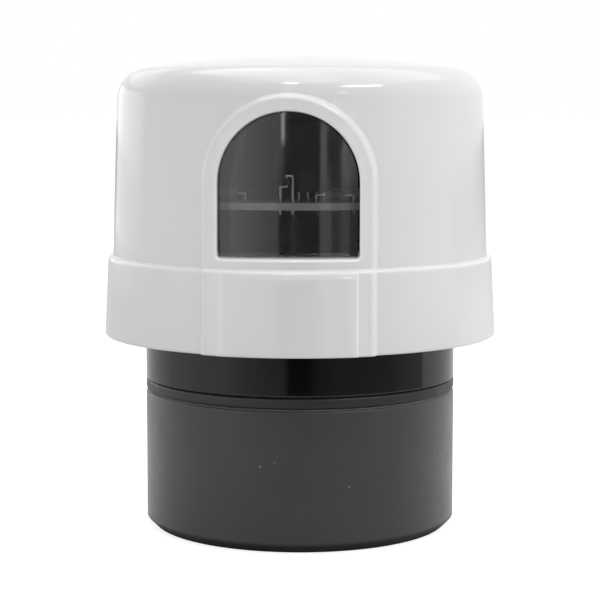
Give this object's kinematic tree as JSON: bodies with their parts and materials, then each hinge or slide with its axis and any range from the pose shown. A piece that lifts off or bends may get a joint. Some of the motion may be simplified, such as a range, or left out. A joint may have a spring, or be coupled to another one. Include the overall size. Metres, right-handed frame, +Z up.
{
  "type": "photocell switch",
  "caption": "Twist-lock photocell switch: pale domed cover with an arched smoked window, black plug base with hooked blades, rubber gasket and round receptacle.",
  "frame": {"origin": "centre of the wire outlet on the receptacle's underside", "axes": "+Z up along the twist axis, towards the dome; -Y out of the window; +X to the right seen from the window"},
  "size_m": [0.084, 0.0856, 0.1001],
  "materials": {
    "cover_plastic": "satin moulded",
    "smoked_lens": "smoked, polished",
    "gloss_black": "glossy moulded",
    "gasket_rubber": "semi-gloss rubber",
    "board": "laminate",
    "zinc_steel": "zinc plated",
    "sensor_epoxy": "cast epoxy",
    "component_black": "moulded",
    "film_grey": "moulded",
    "sleeve_dark": "shrunk sleeve",
    "varistor_coat": "dipped coat",
    "resistor_grey": "dipped coat",
    "resistor_tan": "dipped coat",
    "diode_glass": "glass body",
    "tinned_wire": "tinned copper",
    "solder": "bright solder",
    "blade_brass": "stamped",
    "contact_brass": "stamped",
    "wire_black": "insulation",
    "wire_red": "insulation",
    "wire_grey": "insulation",
    "matte_grey": "matte moulded"
  },
  "bodies": {
    "receptacle": {"receptacle_body": "matte_grey", "receptacle_bottom": "matte_grey", "line_contact": "contact_brass", "load_contact": "contact_brass", "neutral_contact": "contact_brass", "contact_screws": "zinc_steel", "bottom_screws": "zinc_steel", "mounting_inserts": "contact_brass"},
    "photocontrol": {"cover": "cover_plastic", "window_lens": "smoked_lens", "plug_base": "gloss_black", "gasket": "gasket_rubber", "circuit_board": "board", "board_screws": "zinc_steel", "light_sensor": "sensor_epoxy", "relay": "component_black", "film_capacitor": "film_grey", "filter_capacitor": "sleeve_dark", "surge_varistor": "varistor_coat", "bridge_rectifier": "component_black", "dropper_resistor": "resistor_grey", "signal_resistors": "resistor_tan", "switching_transistor": "component_black", "zener_diode": "diode_glass", "component_leads": "tinned_wire", "solder_joints": "solder", "line_blade": "blade_brass", "load_blade": "blade_brass", "neutral_blade": "blade_brass", "blade_rivets": "blade_brass", "line_wire": "wire_black", "load_wire": "wire_red", "neutral_wire": "wire_grey"}
  },
  "joints": [
    {"name": "twist_lock", "type": "hinge", "parent": "receptacle", "child": "photocontrol", "pos_m": [0, 0, 0.0294], "axis": [0, 0, 1], "range_deg": [0, 17]}
  ]
}
